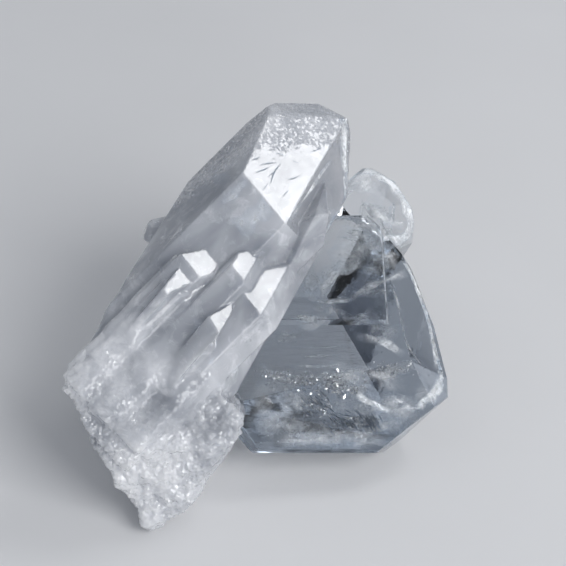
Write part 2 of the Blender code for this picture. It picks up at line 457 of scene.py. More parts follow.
# Stretch of the patterns along the long axis
CLOUD_STRETCH = (1.0, 1.0, 0.7)
STRIA_STRETCH = (1.0, 1.0, 0.10)
# Heights of the striae and the grain, and how far light scatters, in metres
STRIA_HEIGHT = 0.00004
GRAIN_HEIGHT = 0.00006
SCATTER_REACH = 0.0016


def milky_quartz(settings):
    """Cloudy quartz: mirror-bright end faces, striped prism faces and a crumbly lower end."""
    n = Nodes("milky_quartz")
    axis = n.mapped(n.coords, Rotation=MILKY_FRAME.inverted().to_euler())
    up = MILKY_FRAME.col[2]
    broken = n.past(-up, CRUMBLY_FROM - MILKY_ORIGIN.dot(up), 3.0, 6.0)
    crest = n.past(CREST_WAY, CREST_START, 0.9, 1.6, CREST_GRAIN)
    flecked = n.ramp(n.noise(FLECKED_PATCHES, detail=4.0), 0.60, 0.68)

    cloud = n.noise(CLOUDS, rough=0.5, distortion=0.4, vector=n.mapped(axis, Scale=CLOUD_STRETCH))
    wisps = n.noise(WISPS, detail=6.0, rough=0.65, distortion=0.8, vector=axis)
    wisps = n.ramp(wisps, 0.52, 0.72, 0.0, 0.16)
    milk = n.math("ADD", n.math("ADD", cloud, wisps), n.math("MULTIPLY", broken, 0.14))
    right = n.ramp(n.facing(RIGHT_END_WAY), 0.93, 0.97)
    thin = n.math("MULTIPLY", right, n.past(up, THIN_FROM, 1.0, 3.0))
    see_through = n.ramp(milk, 0.32, 0.72, 0.55, 0.12)
    speckled = n.ramp(n.noise(SPECKS), 0.45, 0.75, 0.05, 0.24)

    off_ends = n.ramp(n.facing(END_FACE_WAY), 0.985, 0.995, 1.0, 0.0)
    clusters = n.ramp(n.noise(CRUMB_CLUSTERS), 0.42, 0.58, 0.2, 0.8)
    loose = n.math("MAXIMUM", n.math("MULTIPLY", broken, clusters), n.math("MULTIPLY", crest, 0.35))
    loose = n.math("MAXIMUM", loose, n.math("MULTIPLY", n.math("MULTIPLY", flecked, off_ends), 0.45))
    crumbs = n.crumbs(CRUMBS, loose)
    striae = n.noise(STRIAE, detail=2.0, rough=0.5, vector=n.mapped(axis, Scale=STRIA_STRETCH))
    striped = n.bump(striae, n.math("MULTIPLY", off_ends, 0.12), STRIA_HEIGHT, Normal=crumbs)
    grain = n.noise(GRAIN, detail=4.0)
    grainy = n.math("MULTIPLY", n.math("MAXIMUM", off_ends, loose), 0.2)
    return n.finished({
        "Base Color": n.blend(n.ramp(milk, 0.30, 0.80), settings.haze, settings.cloud),
        "Transmission Weight": n.math("MAXIMUM", see_through, n.math("MULTIPLY", thin, 0.6)),
        "Roughness": n.math("ADD", speckled, n.math("MULTIPLY", crest, 0.2)),
        "IOR": QUARTZ_IOR,
        "Subsurface Weight": 0.8,
        "Subsurface Radius": (1.0, 1.0, 1.0),
        "Subsurface Scale": SCATTER_REACH,
        "Coat Weight": 1.0,
        "Coat Roughness": 0.03,
        "Coat IOR": 1.5,
        "Coat Normal": crumbs,
        "Normal": n.bump(grain, grainy, GRAIN_HEIGHT, Normal=striped),
    })


# Ways of the frosted face along the clear crystal's right side, and of its guessed hidden faces
RIM_WAY = outward(34, 71)
HIDDEN_WAY = (0.0, 0.75, -0.65)
# Patterns on the clear quartz, as noise scales per metre, and the growth waves' stretch and height in metres
CLEAR_PATCHES = 260.0
HIDDEN_FROST = 200.0
RIM_GRAIN = 420.0
GROWTH_WAVES = 300.0
WAVE_STRETCH = (1.0, 4.0, 4.0)
WAVE_HEIGHT = 0.0001


def clear_quartz(settings):
    """See-through quartz with frosted patches and faint growth waves."""
    n = Nodes("clear_quartz")
    patches = n.noise(CLEAR_PATCHES, distortion=0.4)
    patches = n.ramp(patches, 0.45, 0.75, 0.0, 0.10)
    frosted = n.noise(HIDDEN_FROST, detail=5.0, rough=0.65, distortion=0.6)
    frosted = n.ramp(frosted, 0.36, 0.62, 0.05, 0.42)
    hidden = n.math("MULTIPLY", n.ramp(n.facing(HIDDEN_WAY), 0.15, 0.5), frosted)
    grain = n.ramp(n.noise(RIM_GRAIN, detail=4.0), 0.35, 0.60)
    frost = n.math("MULTIPLY", n.ramp(n.facing(RIM_WAY), 0.92, 0.97, 0.0, 0.5), grain)
    growth = n.noise(GROWTH_WAVES, rough=0.5, vector=n.mapped(n.coords, Scale=WAVE_STRETCH))
    # Absorption: the quartz's own faint tint, made strong as painted shade that darkens what is seen through
    # it
    absorb = n.add(
        "ShaderNodeVolumeAbsorption", {"Color": (*settings.tint_and_shade, 1), "Density": settings.tint_and_shade_density}
    )
    n.feed(n.tree.nodes["Material Output"], {"Volume": absorb.outputs[0]})
    return n.finished({
        "Base Color": (1.0, 1.0, 1.0, 1),
        "Transmission Weight": 1.0,
        "IOR": QUARTZ_IOR,
        "Roughness": n.math("MAXIMUM", n.math("ADD", patches, hidden), frost),
        "Normal": n.bump(growth, 0.2, WAVE_HEIGHT),
    })


# Patterns on the small pieces, as noise scales per metre
VEIL_COLOURS = 500.0
VEIL_SMOKE = 420.0
VEIL_GRAINS = 2200.0
ROUGH_SPECKS = 1500.0
# How strongly a veil's cover hides what is behind it, and the most that it hides
COVER_GAIN = 2.0
MOST_HIDDEN = 0.95
# Looks of small pieces: colour pattern per metre, darkest and lightest share of the colour, roughness
FLECK_LOOK = (700.0, (0.8, 1.0), (0.05, 0.3))
CRACK_LOOK = (900.0, (1.0, 3.0), (0.2, 0.5))
SCRATCH_LOOK = (1200.0, (1.6, 3.2), (0.7, 0.7))


def veil_white(settings):
    """White smoke that is clear between its grains."""
    n = Nodes("healed_veil")
    cover = n.add("ShaderNodeAttribute", attribute_name="cover").outputs["Fac"]
    smoke = n.ramp(n.noise(VEIL_SMOKE, detail=6.0, distortion=0.8), 0.34, 0.68)
    grains = n.ramp(n.noise(VEIL_GRAINS, detail=4.0, rough=0.7), 0.38, 0.62, 0.45, 1.0)
    hiding = n.math("MULTIPLY", n.math("MULTIPLY", n.math("MULTIPLY", cover, COVER_GAIN), smoke), grains)
    return n.finished({
        "Base Color": n.blend(n.noise(VEIL_COLOURS, rough=0.55), settings.veil, settings.glow),
        "Transmission Weight": n.math("SUBTRACT", 1.0, n.math("MINIMUM", hiding, MOST_HIDDEN)),
        "Roughness": 0.0,
        "IOR": 1.0,
    })


def speckled(name, base, look, metallic=0.0):
    """Material whose colour and roughness vary in a fine pattern."""
    pattern, shares, roughness = look
    n = Nodes(name)
    return n.finished({
        "Base Color": n.blend(n.noise(pattern, rough=0.55), *(base * share for share in shares)),
        "Roughness": n.ramp(n.noise(ROUGH_SPECKS, rough=0.55), 0.3, 0.7, *roughness),
        "Metallic": metallic,
    })


# Raised ledges: pixels at the end face's corners, its distance, and how far it sinks and runs, in mm
LEDGES = (
    ("left_ledge", ((161, 290), (179, 267), (194, 271), (195, 281), (167, 295)), -5.3, 2.6, 9.0),
    ("splinter_ledge", ((208, 316), (233, 302), (233, 311), (219, 335)), -4.6, 2.4, 8.0),
)


def ledge(name, corners, distance, sink, run, wear):
    """Ledge with an end face of the given outline, sloping back into the crystal behind it."""
    start = MILKY_ORIGIN + END_FACE_WAY * distance
    back = MILKY_FRAME @ outward(0, PRISM) * -sink - MILKY_FRAME.col[2] * run
    points = [on_face(px, py, END_FACE_WAY, start) for px, py in corners]
    centre = sum(points, Vector()) / len(points)
    planes = [(start, END_FACE_WAY), (centre + back, back.normalized())]
    for here, following in zip(points, points[1:] + points[:1]):
        way = (following - here).cross(back).normalized()
        planes.append((here, way if way.dot(here - centre) > 0.0 else -way))
    return cut_block(name, centre, planes, wear)


# How far up its axis the tip's edges and its main face's are worn, and how near the face those lie, in mm
TIP_WORN_FROM = 8.6
MAIN_WORN_FROM = 6.0
ON_FACE = 0.01
# Edge wear of the bud, as a share of the usual, and the angles below which edges are shaded round, in degrees
BUD_WEAR = 3.0
MILKY_ROUND = 28.0
CLEAR_ROUND = 24.0
# Steps that round the edges of the tip and the knob
ROUND_STEPS = 4


def unselected(piece, kind):
    """Leaves nothing of a piece selected, so that edges or faces can be picked one by one."""
    select_only(piece)
    mode("EDIT")
    bpy.ops.mesh.select_mode(type=kind)
    bpy.ops.mesh.select_all(action="DESELECT")
    mode("OBJECT")


def wear_top(piece, width):
    """Rounds the edges at the top of the tip crystal, as knocks do."""
    axis = MILKY_FRAME.col[2]
    unselected(piece, "EDGE")
    points = piece.data.vertices
    for edge in piece.data.edges:
        ends = [points[i].co - MILKY_ORIGIN for i in edge.vertices]
        on_main = all(abs(end.dot(END_FACE_WAY)) < ON_FACE for end in ends)
        lowest = min(end.dot(axis) for end in ends)
        edge.select = lowest > TIP_WORN_FROM or (on_main and lowest > MAIN_WORN_FROM)
    mode("EDIT")
    bpy.ops.mesh.bevel(offset=width, segments=ROUND_STEPS, affect="EDGES", clamp_overlap=True)
    bpy.ops.mesh.normals_make_consistent(inside=False)
    mode("OBJECT")


class QUARTZ_OT_milky_crystals(bpy.types.Operator):
    """Build the milky parallel crystals with their broken root"""

    bl_idname = "quartz.milky_crystals"
    bl_label = "Milky crystals"

    def execute(self, context):
        settings = context.scene.quartz_crystals
        wear = settings.edge_wear / MM
        group = cut_crystal("milky_crystals", MILKY_ORIGIN, MILKY_FRAME, TIP_CRYSTAL)
        wear_top(group, settings.tip_wear / MM)
        pieces = [group]
        for name, faces in MILKY_CRYSTALS.items():
            share = EXTRA_WEAR.get(name, 1.0)
            pieces.append(cut_crystal(name, MILKY_ORIGIN, MILKY_FRAME, faces, wear * share))
        pieces += [ledge(*row, wear) for row in LEDGES]
        pieces.append(cut_crystal("bud", BUD_ORIGIN, LEVEL, BUD, wear * BUD_WEAR))
        pieces.append(cut_crystal("root_tip", ROOT_TIP_ORIGIN, LEVEL, ROOT_TIP))
        pieces.append(cut_crystal("root_end", ROOT_END_ORIGIN, LEVEL, ROOT_END))
        group = grown_together(pieces, settings.grain / MM)
        wear_lower_end(group, settings.relief / MM)
        shade_faces(group, MILKY_ROUND)
        settle(group, milky_quartz(settings))
        return {"FINISHED"}


# Longest that the joined crystals may be, in mm
MILKY_REACH = 60.0


def grown_together(pieces, grain):
    """Joins overlapping closed crystals into one closed surface with a fine even grain."""
    bpy.ops.object.select_all(action="DESELECT")
    for piece in pieces:
        piece.select_set(True)
    group = pieces[0]
    bpy.context.view_layer.objects.active = group
    bpy.ops.object.join()
    bpy.context.view_layer.update()
    if max(group.dimensions) > MILKY_REACH:
        raise RuntimeError(f"{group.name} is too long: one of its crystals isn't closed")
    apply_modifier(group, "REMESH", mode="VOXEL", voxel_size=grain)
    return group


# Where the crystals start to look worn, how far that takes, and how far above it is looked at, in mm
WORN_FROM = -13.5
WORN_RUN = 5.0
WORN_MARGIN = 3.0
# Width of the break's edge, in mm
BREAK_EDGE = 0.6
# Heights in mm of the worn end's ragged start and of its lumps, each with its waves per mm
RAGGED = ((2.2, 0.35), (0.8, 1.1))
LUMPS = ((0.22, 0.4), (0.06, 1.7))
# The hackly break: waves per mm of its coarse, fine, chipped and finest forms, and shares of the last three
HACKLY_WAVES = (0.45, 1.3, 1.1, 3.5)
HACKLY_SHARES = (0.45, 0.35, 0.25)
# Shift in mm that keeps its forms apart, the middle of its chips, and how often the worn end is smoothed
HACKLY_SHIFT = Vector((21.7, 11.9, 6.3))
MIDDLE_CHIP = 0.5
SMOOTHING = 80
# Share of the triangles that stay, since flat faces need few
KEPT_SHARE = 0.42


def waves(place, rows):
    """Sum of noise of several heights and waves at a place."""
    return sum(height * noise.noise(place * often) for height, often in rows)


def hackly(place):
    """Height of the break's lumps and chips at a place, as a share of the relief."""
    coarse, fine, chipped, finest = HACKLY_WAVES
    fine_share, chip_share, finest_share = HACKLY_SHARES
    chips = noise.voronoi(place * chipped)[0][0]
    return (
        noise.noise((place + HACKLY_SHIFT) * coarse)
        + fine_share * noise.noise((place - HACKLY_SHIFT) * fine)
        + chip_share * (MIDDLE_CHIP - chips)
        + finest_share * noise.noise(place * finest)
    )


def off_block(point, planes):
    """How far a point is from a block's surface, in mm."""
    return abs(max((point - start).dot(normal) for start, normal in planes))


def wear_lower_end(group, relief):
    """Wears the lower ends of the crystals soft, and turns the root's faces to a hackly break."""
    axis = MILKY_FRAME.col[2]
    blocks = (planes_of(ROOT_TIP, ROOT_TIP_ORIGIN, LEVEL), planes_of(ROOT_END, ROOT_END_ORIGIN, LEVEL))
    worn = group.vertex_groups.new(name="worn")
    places = []
    for vertex in group.data.vertices:
        below = WORN_FROM - (vertex.co - MILKY_ORIGIN).dot(axis)
        if below < -WORN_MARGIN:
            continue
        share = min(max((below + waves(vertex.co, RAGGED)) / WORN_RUN, 0.0), 1.0)
        broken = max(1.0 - min(off_block(vertex.co, block) for block in blocks) / BREAK_EDGE, 0.0)
        worn.add([vertex.index], share, "REPLACE")
        places.append((vertex.index, share, broken))
    apply_modifier(group, "SMOOTH", vertex_group="worn", factor=0.5, iterations=SMOOTHING)
    points = group.data.vertices
    moves = []
    for index, share, broken in places:
        place = points[index].co
        soft = share * waves(place, LUMPS) * (1.0 - broken)
        moves.append(points[index].normal * (soft + broken * (relief * hackly(place))))
    for (index, _, _), move in zip(places, moves):
        points[index].co += move
        points[index].co.z = max(points[index].co.z, 0.0)
    group.vertex_groups.clear()
    apply_modifier(group, "DECIMATE", ratio=KEPT_SHARE)


def shade_faces(piece, angle):
    """Shades worn edges round while each broad face stays flat."""
    select_only(piece)
    bpy.ops.object.shade_smooth_by_angle(angle=math.radians(angle))
    apply_modifier(piece, "WEIGHTED_NORMAL", weight=100, keep_sharp=True)


def store_cover(mesh, values):
    """Keeps how much each point covers, for the material to read."""
    mesh.attributes.new("cover", "FLOAT", "POINT").data.foreach_set("value", values)


# How squarely a face must lie the rim's way to be frosted, the skin's depth in mm, and its cuts
RIM_FACING = 0.96
SKIN_DEPTH = -0.02
SKIN_CUTS = 12
# Heights of its patches with their waves per mm, its middle and least cover, and how far patches change it
SKIN_PATCHES = ((1.0, 0.35), (0.5, 1.2))
SKIN_COVER = 0.75
LEAST_COVER = 0.25
PATCH_CHANGE = 0.6


def frost_skin(plate, settings):
    """Thin frosted skin on the clear crystal's right side face."""
    skin = new_object("rim_frost", plate.data.copy())
    unselected(skin, "FACE")
    for face in skin.data.polygons:
        face.select = face.normal.dot(RIM_WAY) < RIM_FACING
    mode("EDIT")
    bpy.ops.mesh.delete(type="FACE")
    bpy.ops.mesh.select_all(action="SELECT")
    bpy.ops.mesh.quads_convert_to_tris()
    bpy.ops.mesh.subdivide(number_cuts=SKIN_CUTS)
    mode("OBJECT")
    values = []
    for vertex in skin.data.vertices:
        vertex.co -= vertex.normal * SKIN_DEPTH
        patch = PATCH_CHANGE * waves(vertex.co, SKIN_PATCHES)
        values.append(min(max(SKIN_COVER + patch, LEAST_COVER), 1.0))
    store_cover(skin.data, values)
    settle(skin, veil_white(settings))


class QUARTZ_OT_clear_crystal(bpy.types.Operator):
    """Build the clear tabular crystal with its knob and growth sheet"""

    bl_idname = "quartz.clear_crystal"
    bl_label = "Clear crystal"

    def execute(self, context):
        settings = context.scene.quartz_crystals
        wear = settings.plate_wear / MM
        plate = cut_crystal("clear_crystal", CLEAR_ORIGIN, LEVEL, CLEAR_PLATE, wear)
        frost_skin(plate, context.scene.quartz_healing)
        knob = cut_crystal("knob", KNOB_ORIGIN, LEVEL, KNOB, settings.knob_wear / MM, ROUND_STEPS)
        combine(plate, knob, "UNION")
        combine(plate, cut_crystal("upper_sheet", CLEAR_ORIGIN, LEVEL, UPPER_SHEET, wear), "UNION")
        combine(plate, cut_crystal("ground", Vector((0.0, 0.0, -BLOCK / 2)), LEVEL, ()), "DIFFERENCE")
        shade_faces(plate, CLEAR_ROUND)
        settle(plate, clear_quartz(settings))
        return {"FINISHED"}


# A point inside the tip crystal
TIP_MIDDLE = MILKY_ORIGIN - MILKY_FRAME @ Vector((5.0, 0.0, 4.0))
# Depth of the frosting, which lies on the surface, in mm
FROSTING = -0.03
# Veils by crystal: start and end pixel, width and bow in pixels, depths in mm unless it is frosting, cover
PLATE_VEILS = (
    (336, 238, 398, 262, 26, -5, 1.2, 2.4, 0.55), (345, 232, 372, 243, 10, -3, 0.8, 1.0, 0.80),
    (366, 263, 402, 246, 12, 4, 1.6, 1.2, 0.60), (360, 268, 398, 262, 12, 4, 2.0, 1.2, 0.55),
    (306, 262, 322, 292, 18, 5, 3.0, 3.5, 0.45), (300, 285, 330, 300, 14, 5, 2.0, 1.5, 0.60),
    (312, 300, 352, 301, 6, 2, 0.8, 1.0, 0.85), (346, 303, 407, 272, 8, -3, 0.55),
    (352, 292, 396, 286, 9, 4, 2.0, 1.6, 0.50), (312, 309, 358, 323, 9, -3, 0.60),
    (350, 322, 372, 318, 8, -3, 1.6, 1.8, 0.55), (296, 317, 318, 320, 6, 0, 0.4, 0.5, 1.40),
    (303, 357, 342, 356, 4, -1, 0.7, 0.8, 0.80), (290, 347, 352, 345, 3, 1, 1.4, 1.6, 0.50),
    (276, 340, 302, 334, 14, 1, 1.4, 1.6, 0.50), (285, 366, 350, 364, 4, 1, 1.8, 1.4, 0.50),
    (356, 336, 406, 354, 10, -3, 0.50), (364, 312, 398, 338, 22, 4, 3.0, 2.4, 0.40),
    (258, 368, 306, 381, 13, 4, 0.9, 1.2, 0.95), (300, 380, 362, 372, 16, 3, 1.2, 1.0, 1.05),
    (356, 374, 414, 363, 12, 5, 1.0, 0.8, 1.00), (318, 380, 368, 394, 16, -2, 1.5, 1.8, 0.85),
    (256, 386, 316, 404, 22, -3, 2.2, 2.6, 0.50), (244, 424, 352, 440, 20, -4, 1.5, 2.0, 0.55),
    (330, 404, 420, 420, 34, -4, 2.0, 2.4, 0.50), (344, 436, 404, 424, 18, -4, 1.0, 1.4, 0.70),
    (356, 394, 390, 412, 7, 0, 1.40), (391, 395, 417, 410, 6, 2, 0.90), (417, 410, 440, 380, 7, 1, 1.30),
    (402, 256, 430, 318, 8, -3, 0.90), (426, 304, 442, 376, 12, -3, 1.30),
    (443, 362, 428, 404, 13, -4, 1.40), (330, 262, 384, 240, 22, 4, 0.45),
    (322, 286, 360, 262, 20, -5, 2.4, 1.6, 0.80), (332, 209, 352, 213, 11, 0, 1.00),
    (246, 404, 304, 420, 48, -2, 0.30), (270, 440, 392, 441, 16, -2, 0.34),
    (382, 414, 430, 390, 30, 2, 0.34), (330, 366, 410, 384, 22, 4, 0.26),
    (352, 250, 398, 262, 16, -4, 0.50), (344, 222, 384, 236, 12, -3, 0.60),
    (300, 330, 346, 296, 14, 4, 0.30), (306, 300, 346, 262, 14, 4, 1.0, 1.6, 0.90),
    (392, 288, 404, 334, 2, -2, 0.3, 0.4, 1.30), (403, 332, 425, 368, 2, 3, 0.3, 0.4, 1.30),
)
KNOB_VEILS = (
    (346, 182, 386, 196, 22, -5, 0.80), (360, 206, 394, 214, 17, 5, 1.5, 1.2, 1.30),
    (370, 170, 410, 206, 14, -5, 1.20), (400, 190, 409, 240, 13, -5, 1.30),
    (378, 222, 406, 242, 15, 3, 1.2, 1.0, 1.30), (350, 169, 398, 176, 10, -3, 1.20),
    (366, 200, 404, 226, 12, 4, 0.60), (384, 236, 408, 236, 10, 2, 0.90),
)
TIP_VEILS = (
    (345, 112, 346, 200, 7, 1, 0.90), (308, 204, 346, 215, 10, 2, 0.70), (331, 160, 289, 221, 4, 0, 0.80),
    (236, 228, 268, 204, 20, 3, 0.45), (222, 204, 246, 180, 8, 2, 0.35),
    (326, 232, 338, 220, 12, 2, 0.35),
)
# Planes and middle of each crystal
IN_PLATE = (planes_of(CLEAR_PLATE, CLEAR_ORIGIN, LEVEL), CLEAR_ORIGIN)
IN_KNOB = (planes_of(KNOB, KNOB_ORIGIN, LEVEL), KNOB_ORIGIN)
IN_TIP = (planes_of(TIP_CRYSTAL, MILKY_ORIGIN, MILKY_FRAME), TIP_MIDDLE)
VEILS = ((PLATE_VEILS, IN_PLATE), (KNOB_VEILS, IN_KNOB), (TIP_VEILS, IN_TIP))
# Slivers: centre pixel, reach in pixels, lean, count, length and depth in mm
FLECKS = (
    (276, 376, 16, 6, 20.0, 90, 0.38, 0.5), (305, 380, 24, 8, 5.0, 170, 0.42, 0.5),
    (340, 384, 26, 12, -5.0, 210, 0.44, 0.6), (388, 370, 26, 7, -15.0, 110, 0.38, 0.5),
    (330, 292, 24, 12, 0.0, 90, 0.14, 1.3), (385, 322, 7, 7, 60.0, 40, 0.22, 0.8),
    (314, 403, 22, 15, 38.0, 120, 0.55, 1.4), (353, 424, 26, 9, 34.0, 110, 0.60, 1.2),
    (270, 430, 26, 12, 10.0, 60, 0.14, 1.0), (400, 412, 18, 12, 0.0, 60, 0.14, 1.0),
)
NEEDLES = (
    (314, 402, 20, 14, 38.0, 75, 1.00, 0.5), (350, 421, 25, 9, 36.0, 85, 1.15, 0.5),
    (371, 422, 9, 11, 56.0, 36, 1.30, 0.5), (330, 388, 24, 5, 12.0, 24, 0.70, 0.5),
)
# How far flecks and needles turn from their lean, in degrees, and how wide they are for their length
FLECK_SHAPE = (60.0, 0.45)
NEEDLE_SHAPE = (16.0, 0.14)

# Least run through a crystal where something can lie inside it, in mm, and the deepest share of that run
THINNEST = 0.5
DEEPEST = 0.8
# A pixel that misses its crystal is pulled to the middle in steps
PULLS = 40
PULL = 0.04


def entry(px, py, planes):
    """Where and through which face a pixel's ray enters a crystal, and how long it stays inside."""
    eye, ray = view_ray(px, py)
    enter, leave, met = -math.inf, math.inf, None
    for start, normal in planes:
        facing = ray.dot(normal)
        reach = (start - eye).dot(normal) / facing
        if facing < 0.0 and reach > enter:
            enter, met = reach, normal
        elif facing > 0.0:
            leave = min(leave, reach)
    return eye + ray * enter, met, ray, leave - enter


def inside(px, py, depth, planes, middle):
    """Point seen at a pixel at a depth under the crystal's surface, with the ray bent as quartz bends it."""
    place = Vector((px, py))
    centre = pixel_of(middle)
    for _ in range(PULLS):
        start, met, ray, run = entry(place.x, place.y, planes)
        if run > THINNEST:
            break
        place = place.lerp(centre, PULL)
    else:
        raise RuntimeError(f"pixel {px:.0f}, {py:.0f} misses its crystal")
    cos_in = -ray.dot(met)
    ratio = 1.0 / QUARTZ_IOR
    cos_out = math.sqrt(1.0 - ratio * ratio * (1.0 - cos_in * cos_in))
    bent = ray * ratio + met * (ratio * cos_in - cos_out)
    return start + bent * min(depth / cos_out, run * DEEPEST)


# Steps of a veil's grid, least depth of a veil inside in mm, and its line's wander as a share of its width
VEIL_LONG = 40
VEIL_WIDE = 12
SHALLOWEST = 0.15
WANDER = 0.4
# Waves of its wander and ripple along and across it, and how its cover fades to the sides and the ends
WANDER_WAVES = (3.0, 1.0, 0.0)
RIPPLE_WAVES = (4.0, 1.5, 5.0)
SIDE_FADE = 1.3
END_FADE = 0.7
# Seeds, and how far apart veils lie in the noise
VEIL_SEED = 11
SLIVER_SEED = 23
NOISE_SPAN = 50


def at(shift, u, v, often):
    """Noise at a place of a veil."""
    along, across, layer = often
    return noise.noise(shift + Vector((u * along, v * across, layer)))


def veil(crystal, row, rng, ripple):
    """Grid of one wavy veil with its cover stored at each vertex."""
    start, end = Vector(row[:2]), Vector(row[2:4])
    width, bow, *depths, cover = row[4:]
    along = end - start
    across = Vector((-along.y, along.x)).normalized()
    points, covers, quads = [], [], []
    shift = Vector((rng.uniform(0, NOISE_SPAN), rng.uniform(0, NOISE_SPAN), 0))
    for i in range(VEIL_LONG + 1):
        u = i / VEIL_LONG
        arch = bow * (1 - (2 * u - 1) ** 2)
        fade = max(math.sin(math.pi * u), 0.0) ** END_FADE
        for j in range(VEIL_WIDE + 1):
            v = 2.0 * j / VEIL_WIDE - 1.0
            aside = v * width / 2 + arch + at(shift, u, v, WANDER_WAVES) * width * WANDER
            place = start + along * u + across * aside
            depth = FROSTING
            if depths:
                depth = depths[0] + (depths[1] - depths[0]) * u
                depth = max(depth + ripple * at(shift, u, v, RIPPLE_WAVES), SHALLOWEST)
            points.append(inside(place.x, place.y, depth, *crystal))
            covers.append(cover * max(1 - v * v, 0.0) ** SIDE_FADE * fade)
    step = VEIL_WIDE + 1
    for i in range(VEIL_LONG):
        for j in range(VEIL_WIDE):
            a = i * step + j
            quads.append((a, a + 1, a + step + 1, a + step))
    return points, quads, covers


def joined(name, parts):
    """One mesh from many small ones, each (points, faces, covers)."""
    points, faces, covers = [], [], []
    for some_points, some_faces, some_covers in parts:
        base = len(points)
        points += some_points
        faces += [tuple(base + k for k in face) for face in some_faces]
        covers += some_covers
    mesh = bpy.data.meshes.new(name)
    mesh.from_pydata(points, [], faces)
    store_cover(mesh, covers)
    return new_object(name, mesh)


BLADE_FACES = ((0, 1, 2), (0, 2, 3), (0, 3, 1), (4, 2, 1), (4, 3, 2), (4, 1, 3))


def blade(centre, long_way, wide_way, length, width, thickness):
    """Thin sliver: pointed at both ends, three sided in the middle."""
    thin_way = long_way.cross(wide_way).normalized()
    points = [
        centre - long_way * length / 2,
        centre + wide_way * width / 2,
        centre - wide_way * width / 2 + thin_way * thickness / 2,
        centre - wide_way * width / 2 - thin_way * thickness / 2,
        centre + long_way * length / 2,
    ]
    return points, BLADE_FACES, [1.0] * 5


# Slivers: spread as a share of the reach, least depth, its spread and their tilt in mm, sizes and thickness
REACH_SPREAD = 0.5
LEAST_DEPTH = 0.35
DEPTH_SPREAD = 0.3
TILT = 0.06
SIZES = (0.4, 1.3)
THICKNESS = 0.25


def scatter(rows, rng, spread, width_share):
    """Slivers spread about each row's centre, leaning its way."""
    parts = []
    for centre_x, centre_y, reach_x, reach_y, lean, count, length, depth in rows:
        for _ in range(count):
            px = centre_x + rng.gauss(0, REACH_SPREAD) * reach_x
            py = centre_y + rng.gauss(0, REACH_SPREAD) * reach_y
            deep = max(LEAST_DEPTH, depth + rng.gauss(0, DEPTH_SPREAD))
            here = inside(px, py, deep, *IN_PLATE)
            turn = math.radians(lean + rng.gauss(0, spread))
            there = deep + rng.gauss(0, TILT)
            ahead = inside(px + math.cos(turn), py + math.sin(turn), there, *IN_PLATE)
            long_way = (ahead - here).normalized()
            loose = Vector((rng.gauss(0, 1), rng.gauss(0, 1), rng.gauss(0, 1)))
            wide_way = long_way.cross(loose).normalized()
            size = length * rng.uniform(*SIZES)
            width = size * width_share
            parts.append(blade(here, long_way, wide_way, size, width, width * THICKNESS))
    return parts


# Scratches on the tip crystal's main face: start and end pixel, bow in pixels, width in mm
SCRATCHES = (
    ((271, 184), (281, 163), -2.0, 0.116),
    ((267, 177), (279, 166), 1.0, 0.070),
    ((256, 172), (269, 167), 0.5, 0.081),
    ((259, 165), (279, 163), -1.0, 0.070),
    ((251, 160), (261, 156), 0.5, 0.070),
    ((286, 179), (301, 175), 1.0, 0.065),
    ((275, 153), (286, 156), -0.5, 0.081),
    ((292, 160), (300, 163), 0.5, 0.059),
    ((262, 190), (268, 183), 0.5, 0.065),
    ((309, 152), (322, 147), 0.8, 0.065),
    ((283, 196), (290, 190), -0.5, 0.055),
)
# Steps of a scratch, its height over the face in mm, and the start and run of the sine that tapers it
SCRATCH_STEPS = 10
SCRATCH_LIFT = 0.08
TAPER_START = 0.04
TAPER_RUN = 0.92


def scratch(start, end, bow, width, normal, point):
    """Hairline ribbon lying on a face, pointed at both ends."""
    start, end = Vector(start), Vector(end)
    side = Vector((start.y - end.y, end.x - start.x)).normalized()
    middle = []
    for i in range(SCRATCH_STEPS + 1):
        u = i / SCRATCH_STEPS
        place = start.lerp(end, u) + side * bow * (1.0 - (2.0 * u - 1.0) ** 2)
        middle.append(on_face(place.x, place.y, normal, point))
    across = normal.cross(middle[-1] - middle[0]).normalized()
    points, covers = [], []
    for i, place in enumerate(middle):
        half = width / 2 * math.sin(math.pi * (TAPER_START + TAPER_RUN * i / SCRATCH_STEPS))
        points += [place + across * half, place - across * half]
        covers += [1.0, 1.0]
    quads = [(2 * i, 2 * i + 1, 2 * i + 3, 2 * i + 2) for i in range(SCRATCH_STEPS)]
    return points, quads, covers


class QUARTZ_OT_scratches(bpy.types.Operator):
    """Draw the hairline scratches on the tip crystal's main face"""

    bl_idname = "quartz.scratches"
    bl_label = "Scratches"

    def execute(self, context):
        point = MILKY_ORIGIN + END_FACE_WAY * SCRATCH_LIFT
        piece = joined("face_scratches", [scratch(*row, END_FACE_WAY, point) for row in SCRATCHES])
        settle(piece, speckled("scratch_grey", context.scene.quartz_healing.shade, SCRATCH_LOOK))
        return {"FINISHED"}


class QUARTZ_OT_healed_veils(bpy.types.Operator):
    """Lay the veils in the clear crystal and the milky thread that runs across it"""

    bl_idname = "quartz.healed_veils"
    bl_label = "Healed veils and thread"

    def execute(self, context):
        settings = context.scene.quartz_healing
        rng = random.Random(VEIL_SEED)
        ripple = settings.ripple / MM
        parts = [veil(crystal, row, rng, ripple) for rows, crystal in VEILS for row in rows]
        settle(joined("healed_veils", parts), veil_white(settings))
        return {"FINISHED"}


class QUARTZ_OT_flecks(bpy.types.Operator):
    """Scatter the bright flecks of the healed thread and the fan of fine cracks under it"""

    bl_idname = "quartz.flecks"
    bl_label = "Flecks and cracks"

    def execute(self, context):
        rng = random.Random(SLIVER_SEED)
        settings = context.scene.quartz_healing
        flecks = joined("thread_flecks", scatter(FLECKS, rng, *FLECK_SHAPE))
        needles = joined("fine_cracks", scatter(NEEDLES, rng, *NEEDLE_SHAPE))
        settle(flecks, speckled("crack_shine", settings.shine, FLECK_LOOK, metallic=1.0))
        settle(needles, speckled("dark_crack", settings.shade, CRACK_LOOK))
        return {"FINISHED"}


